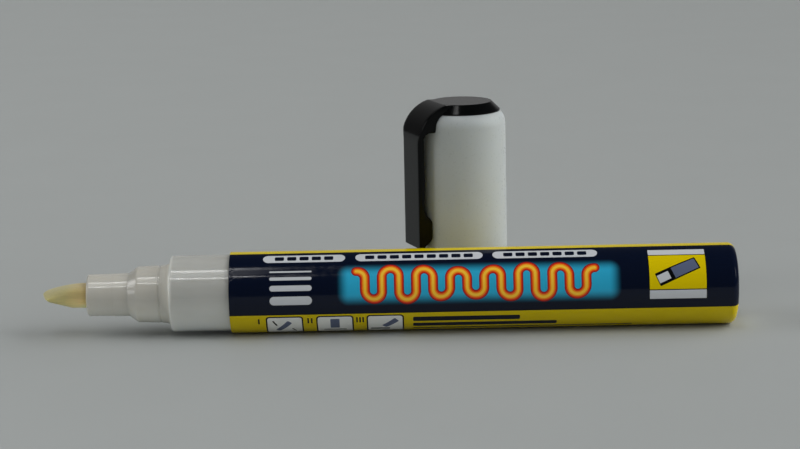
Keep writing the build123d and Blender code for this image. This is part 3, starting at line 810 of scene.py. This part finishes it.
class CHALKMARKER_OT_clip(bpy.types.Operator):
    """Mould the crown and the clip's arm in one piece"""

    bl_idname = "chalkmarker.clip"
    bl_label = "Clip and crown"

    def execute(self, context):
        sizes, colours = user_values(context)
        top, end, seat_height = CLIP_HIGH.z, CLIP_LOW.z, SHELL_HIGH.z
        # Crown: flat top, bevel, land, and a barbed post through the shell
        post, barb, barb_height, post_end = 3.2 * MM, 3.45 * MM, 38.15 * MM, 37.8 * MM
        rows = [
            (top, 0, 0),
            (top, sizes.crown_radius, 0.3 * MM),
            (seat_height + 0.3 * MM, CAP_RIM, 0.12 * MM),
            (seat_height, CAP_RIM, 0.05 * MM),
            (seat_height, post, 0),
            (barb_height, post, 0),
            (barb_height, barb, 0),
            (post_end, post, 0),
            (post_end, 0, 0),
        ]
        crown = rounded_run(rows)
        crown_points = turned_points(crown, CAP_AXIS).reshape(-1, 3)
        # The crown stops at the arm's line: what lies beyond it within the arm is drawn back to the line
        facing = np.array([-cos(sizes.clip_turn), -sin(sizes.clip_turn), 0])
        beside = np.array([sin(sizes.clip_turn), -cos(sizes.clip_turn), 0])
        past = np.clip((crown_points - CAP_AXIS) @ facing - sizes.clip_line, 0, None)
        past *= np.abs((crown_points - CAP_AXIS) @ beside) < sizes.clip_root / 2 - 0.4 * MM
        crown_points -= past[:, None] * facing
        # Arm: its side outline is carried across the width; out is the distance from the cap's axis.
        # It bends down in an arc, runs straight, and comes back up over a bump and a web to the crown.
        thick, root = 1.25 * MM, 3.4 * MM
        outer, drop = sizes.clip_reach, sizes.clip_drop
        inner, reach = outer - thick, outer - sizes.clip_line
        arc = (reach**2 + drop**2) / (2 * reach)
        turn = np.linspace(np.arcsin(drop / arc), 0, 25)
        bend = np.stack([outer - arc + arc * np.cos(turn), top - drop + arc * np.sin(turn)], -1)
        flush = top - 0.02 * MM
        start = np.array([(root, flush), (sizes.clip_line - 0.05 * MM, flush)])
        wave = np.linspace(0, 1, 25)[1:-1]
        bump_low, bump_run, bump_rise = end + 0.4 * MM, 6.6 * MM, 2.0 * MM
        curve = (bump_run**2 / 4 + bump_rise**2) / (2 * bump_rise)
        swell = np.sqrt(curve**2 - (bump_run * (wave - 0.5)) ** 2) - (curve - bump_rise)
        bump = np.stack([inner - swell, bump_low + bump_run * wave], -1)
        web_start, web_height, web_end = bump_low + bump_run + 1 * MM, top - 5.4 * MM, 4.6 * MM
        rows = [(inner, web_start, 0), (inner, web_height, 1.2 * MM), (web_end, web_height, 0)]
        web = rounded_run(rows)
        lean_height = np.linspace(web_height, seat_height, 10)[1:]
        lean = np.stack([np.linspace(web_end, root, 9), lean_height], -1)
        foot = np.array([(outer, end), (inner, end), (inner, bump_low)])
        straight = np.stack([np.full(12, outer), np.linspace(top - drop, end, 14)[1:-1]], -1)
        outline = np.concatenate([start, bend, straight, foot, bump, web, lean])
        # Rounded edges: near each side the outline shrinks by r * (1 - cos) as it moves out by r * sin
        ahead, behind = np.roll(outline, -1, axis=0), np.roll(outline, 1, axis=0)
        tangent = ahead - behind
        normal = np.stack([-tangent[:, 1], tangent[:, 0]], -1) / np.linalg.norm(tangent, axis=1)[:, None]
        area = np.sum(outline[:, 0] * ahead[:, 1] - outline[:, 1] * ahead[:, 0])
        normal *= np.sign(area)
        quarter = np.linspace(0, pi / 2, 6)
        half, radius = sizes.clip_width / 2, sizes.clip_round
        flank = half - radius + radius * np.sin(quarter)
        shrink = radius * (1 - np.cos(quarter))
        flat = np.linspace(-(half - radius), half - radius, 13)[1:-1]
        w = np.concatenate([-flank[::-1], flat, flank])
        shrink = np.concatenate([shrink[::-1], np.zeros(len(flat)), shrink])
        out, height = np.moveaxis(outline + shrink[:, None, None] * normal, -1, 0)
        # The arm flares above its straight run: its width grows to the root's as 3q^2 - 2q^3
        flare_run = drop - 4.6 * MM
        rise = np.clip((height - (top - drop)) / flare_run, 0, 1)
        wide = w[:, None] * (1 + (sizes.clip_root / sizes.clip_width - 1) * rise**2 * (3 - 2 * rise))
        # What would lie in the cap stops on its side, a hair clear of it
        side = np.interp(height, *cap_side()) + 0.05 * MM
        below = height < seat_height - 0.01 * MM
        out = np.where(below, np.maximum(out, np.sqrt(side**2 - wide**2)), out)
        up = np.array([0, 0, 1.0])
        arm = CAP_AXIS + out[:, :, None] * facing + wide[:, :, None] * beside + height[:, :, None] * up
        rows, columns = out.shape
        faces = bar_faces(len(crown), SEGMENTS, ends=[])
        faces += bar_faces(rows, columns, ends=[0, rows - 1], start=len(crown_points))
        points = np.concatenate([crown_points, arm.reshape(-1, 3)])
        # ABS comes smooth out of the mould, with a deep, even gloss
        plastic = moulded_plastic(
            "Black ABS, moulded", colours.clip, rough=0.14, cloud=0.2, grain_mm=0.3, grain=0.01, ior=1.22
        )
        piece = build_object("clip_and_crown", points, faces, plastic, sharp=32)
        seat(piece, "cap", "black_plastic", "cap_clip")
        return {"FINISHED"}


def hang(name, lamp, turn, height):
    """Link a lamp that shines from a compass turn, from the front towards the right, and a height."""
    item = bpy.data.objects.new(name, lamp)
    item.rotation_euler = (radians(90 - height), 0, radians(turn))
    bpy.context.scene.collection.objects.link(item)
    return item


class CHALKMARKER_OT_stage(bpy.types.Operator):
    """Lay the floor, set the lights and the room, and place the camera"""

    bl_idname = "chalkmarker.stage"
    bl_label = "Stage"

    def execute(self, context):
        scene, stage = context.scene, context.scene.chalk_marker_stage
        # Matt pale card, with faint mottling about 25 mm across
        card, add, shader = start_material("Matt pale card")
        place = add("TexCoord", output="Object")
        mottle = add("TexNoise", {"Vector": place, "Scale": 1 / (25 * MM), "Detail": 4.0})
        tones = {0: mottle, 6: rgba(stage.floor, 0.98), 7: rgba(stage.floor, 1.02)}
        tone = add("Mix", tones, 2, data_type="RGBA")
        set_inputs(shader, {"Base Color": tone, "Roughness": 0.6, "Specular IOR Level": 0.15})
        reach = 9.0
        square = [(-reach, -reach, 0), (reach, -reach, 0), (reach, reach, 0), (-reach, reach, 0)]
        mesh = bpy.data.meshes.new("floor")
        mesh.from_pydata(square, [], [(0, 1, 2, 3)])
        mesh.materials.append(card)
        floor = bpy.data.objects.new("floor", mesh)
        scene.collection.objects.link(floor)

        # Broad, soft lamps that leave no glint: compass turn, height, spread and strength
        suns = (("key", 101, 30, 76, stage.key), ("fill", 58, 20, 70, stage.fill))
        for name, turn, height, spread, strength in suns:
            lamp = bpy.data.lights.new(name, "SUN")
            lamp.energy, lamp.angle = strength, radians(spread)
            hang(name, lamp, turn, height).visible_glossy = False

        # Lamps that glint: size, brightness, compass turn and height, and a shift along the marker.
        # A panel between two tubes, high in front, glints along the nose and the neck; a window and a
        # low pane on the left light what faces left; a strip on the right glints on the tail.
        distance, left = 2.4, -0.36
        for name, size, level, turn, height, shift in (
            ("panel", (0.34, 0.6), stage.panel, 0, 69.5, left),
            ("tube_far", (0.34, 0.3), stage.tubes, 0, 81.5, left),
            ("tube_near", (0.34, 0.11), 2.2 * stage.tubes, 0, 57.5, left),
            ("window", (1.5, 0.85), 1.1 * stage.window, -90, 30, 0),
            ("pane", (0.5, 0.7), stage.window, -76, 13, 0),
            ("strip", (0.2, 0.9), stage.window, 72, 25, 0),
        ):
            lamp = bpy.data.lights.new(name, "AREA")
            lamp.shape, lamp.size, lamp.size_y = "RECTANGLE", *size
            lamp.energy = pi * level * lamp.size * lamp.size_y
            away, rise = distance * cos(radians(height)), distance * sin(radians(height))
            across, forward = away * sin(radians(turn)), away * cos(radians(turn))
            hang(name, lamp, turn, height).location = (shift + across, -forward, rise)

        # Room: dim, with a pale wall behind that fades out from about 15 to 40 degrees up
        world = bpy.data.worlds.new("Soft room")
        world.use_nodes = True
        world.node_tree.nodes.clear()
        add = partial(add_node, world.node_tree)
        towards = add("TexCoord", output="Generated")
        axes = add("SeparateXYZ", {0: towards}, output=None).outputs
        low = add("MapRange", {0: axes["Z"], 1: 0.25, 2: 0.65, 3: 1.0, 4: 0.0})
        behind = add("MapRange", {0: axes["Y"], 1: 0.72, 2: 0.9, 3: 0.0, 4: 1.0})
        wall = add("Math", {0: low, 1: behind}, operation="MULTIPLY")
        white = (1, 1, 1)
        levels = {0: wall, 6: rgba(white, stage.room), 7: rgba(white, stage.backdrop)}
        level = add("Mix", levels, 2, data_type="RGBA")
        # The camera itself sees a plain wall in the floor's tone
        eye = add("LightPath", output="Is Camera Ray")
        seen = add("Mix", {0: eye, 6: level, 7: rgba(stage.floor, 0.8)}, 2, data_type="RGBA")
        background = add("Background", {"Color": seen})
        add("OutputWorld", {"Surface": background}, output=None)
        scene.world = world

        # Camera: worked out from the marker's and the cap's outlines
        lens = bpy.data.cameras.new("camera")
        lens.lens, lens.sensor_width = stage.lens, 36.0
        lens.clip_start, lens.clip_end = 0.01, 100.0
        camera = bpy.data.objects.new("camera", lens)
        turn, down, roll = radians(-0.1857), radians(11.5158), radians(-1.1859)
        stand = (0.004109, -0.4406, 0.108408)
        ahead = np.array([sin(turn) * cos(down), cos(turn) * cos(down), -sin(down)])
        right = np.array([cos(turn), -sin(turn), 0.0])
        up = np.cross(right, ahead)
        right, up = cos(roll) * right + sin(roll) * up, cos(roll) * up - sin(roll) * right
        matrix = np.eye(4)
        matrix[:3] = np.stack([right, up, -ahead, stand], -1)
        camera.matrix_world = Matrix(matrix.tolist())
        scene.collection.objects.link(camera)
        scene.camera = camera
        scene.view_settings.view_transform = "Standard"
        return {"FINISHED"}


PIECES = (
    CHALKMARKER_OT_stage,
    CHALKMARKER_OT_barrel,
    CHALKMARKER_OT_film,
    CHALKMARKER_OT_nose,
    CHALKMARKER_OT_nib,
    CHALKMARKER_OT_valve,
    CHALKMARKER_OT_cap,
    CHALKMARKER_OT_clip,
)


class CHALKMARKER_PT_panel(bpy.types.Panel):
    """Pieces, sizes, colours and stage of the chalk marker"""

    bl_idname = "CHALKMARKER_PT_panel"
    bl_label = "Chalk Marker"
    bl_space_type = "VIEW_3D"
    bl_region_type = "UI"
    bl_category = "Chalk Marker"

    def draw(self, context):
        for piece in PIECES:
            self.layout.operator(piece.bl_idname)
        for group in ("chalk_marker_sizes", "chalk_marker_colours", "chalk_marker_stage"):
            settings = getattr(context.scene, group)
            box = self.layout.box()
            for name in settings.__annotations__:
                box.prop(settings, name)


GROUPS = {
    "chalk_marker_sizes": ChalkMarkerSizes,
    "chalk_marker_colours": ChalkMarkerColours,
    "chalk_marker_stage": ChalkMarkerStage,
}
CLASSES = (*GROUPS.values(), *PIECES, CHALKMARKER_PT_panel)


def register():
    for item in CLASSES:
        bpy.utils.register_class(item)
    for name, group in GROUPS.items():
        setattr(bpy.types.Scene, name, bpy.props.PointerProperty(type=group))


def unregister():
    for name in GROUPS:
        delattr(bpy.types.Scene, name)
    for item in reversed(CLASSES):
        bpy.utils.unregister_class(item)


def main():
    register()
    for piece in PIECES:
        getattr(bpy.ops.chalkmarker, piece.bl_idname.split(".")[1])()


if __name__ == "__main__":
    main()
